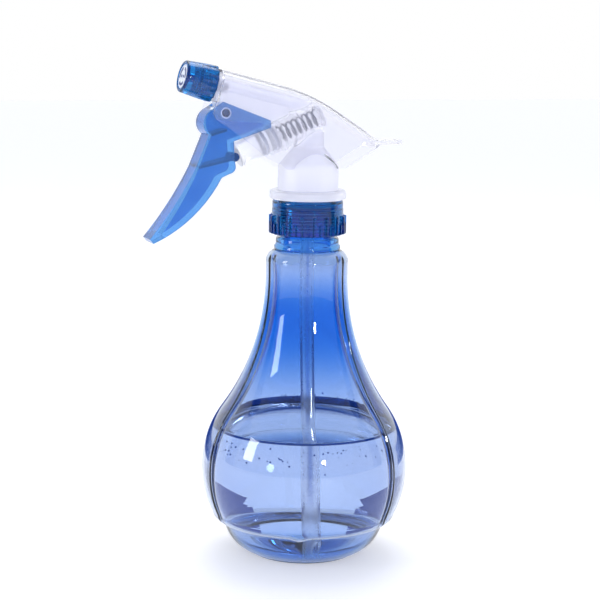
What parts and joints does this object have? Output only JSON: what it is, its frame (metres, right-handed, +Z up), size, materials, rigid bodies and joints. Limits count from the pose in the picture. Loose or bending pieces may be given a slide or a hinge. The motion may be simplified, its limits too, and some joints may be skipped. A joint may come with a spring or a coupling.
{
  "type": "spray bottle",
  "caption": "Lobed transparent bottle with a screw collar and a trigger pump head; pulling the lever drives a sprung piston and the front nozzle turns.",
  "frame": {"origin": "centre of the ring foot on the resting plane, on the bottle's axis", "axes": "+Z up along the bottle's axis, the nozzle points towards -X, and the pump head is symmetric about y = 0"},
  "size_m": [0.1234, 0.095, 0.2262],
  "materials": {
    "bottle_pet": "clear blown plastic, tinted blue",
    "deep_blue": "transparent moulded plastic, deep blue",
    "trigger_blue": "transparent moulded plastic, mid blue",
    "clear_cover": "clear moulded plastic, slightly milky",
    "frosted_body": "natural milky plastic",
    "natural_plastic": "natural unpigmented plastic",
    "tube_plastic": "soft translucent tube",
    "gasket_white": "foamed sealing disc",
    "seal_rubber": "soft natural elastomer",
    "face_white": "white moulded plastic",
    "steel": "bright stainless wire and balls"
  },
  "bodies": {
    "bottle_body": {"bottle": "bottle_pet"},
    "head": {"sprayer_body": "frosted_body", "shroud": "clear_cover", "tube_retainer": "natural_plastic", "dip_tube": "tube_plastic", "ball_cage": "natural_plastic", "bottle_gasket": "gasket_white", "swirl_core": "face_white", "return_spring": "steel", "outlet_spring": "steel"},
    "collar": {"screw_collar": "deep_blue"},
    "lever": {"trigger": "trigger_blue", "trigger_pin": "trigger_blue"},
    "plunger": {"piston": "natural_plastic", "piston_front_seal": "seal_rubber", "piston_rear_seal": "seal_rubber"},
    "inlet_valve": {"inlet_ball": "steel"},
    "outlet_valve": {"outlet_ball": "steel"},
    "nozzle_slider": {"nozzle_seal": "seal_rubber"},
    "nozzle": {"nozzle_cap": "deep_blue", "nozzle_face": "face_white"}
  },
  "joints": [
    {"name": "collar_turn", "type": "hinge", "parent": "head", "child": "collar", "pos_m": [0, 0, 0.156], "axis": [0, 0, 1], "range_deg": [0, 540]},
    {"name": "head_lift", "type": "slide", "parent": "bottle_body", "child": "head", "axis": [0, 0, 1], "range_m": [0, 0.00634]},
    {"name": "trigger_pull", "type": "hinge", "parent": "head", "child": "lever", "pos_m": [-0.0413, 0, 0.2035], "axis": [0, -1, 0], "range_deg": [0, 25], "stiffness_Nm_per_rad": 0.25, "springref_deg": -14.32},
    {"name": "piston_slide", "type": "slide", "parent": "head", "child": "plunger", "axis": [0.9171, 0, 0.3987], "range_m": [0, 0.0087], "deforming": ["return_spring"]},
    {"name": "inlet_lift", "type": "slide", "parent": "head", "child": "inlet_valve", "axis": [0, 0, 1], "range_m": [0, 0.0012]},
    {"name": "outlet_lift", "type": "slide", "parent": "head", "child": "outlet_valve", "axis": [-0.9705, 0, 0.2409], "range_m": [0, 0.0012], "stiffness_N_per_m": 60, "springref_m": -0.0005, "deforming": ["outlet_spring"]},
    {"name": "nozzle_out", "type": "slide", "parent": "head", "child": "nozzle_slider", "axis": [-0.9705, 0, 0.2409], "range_m": [0, 0.002]},
    {"name": "nozzle_turn", "type": "hinge", "parent": "nozzle_slider", "child": "nozzle", "pos_m": [-0.0455, 0, 0.2159], "axis": [-0.9705, 0, 0.2409], "range_deg": [0, 360]}
  ],
  "couplings": [
    {"joint": "collar_turn", "follows": "head_lift", "rad_per_m": 1485.4},
    {"joint": "trigger_pull", "follows": "piston_slide", "rad_per_m": 50},
    {"joint": "nozzle_turn", "follows": "nozzle_out", "rad_per_m": 3141.6}
  ]
}
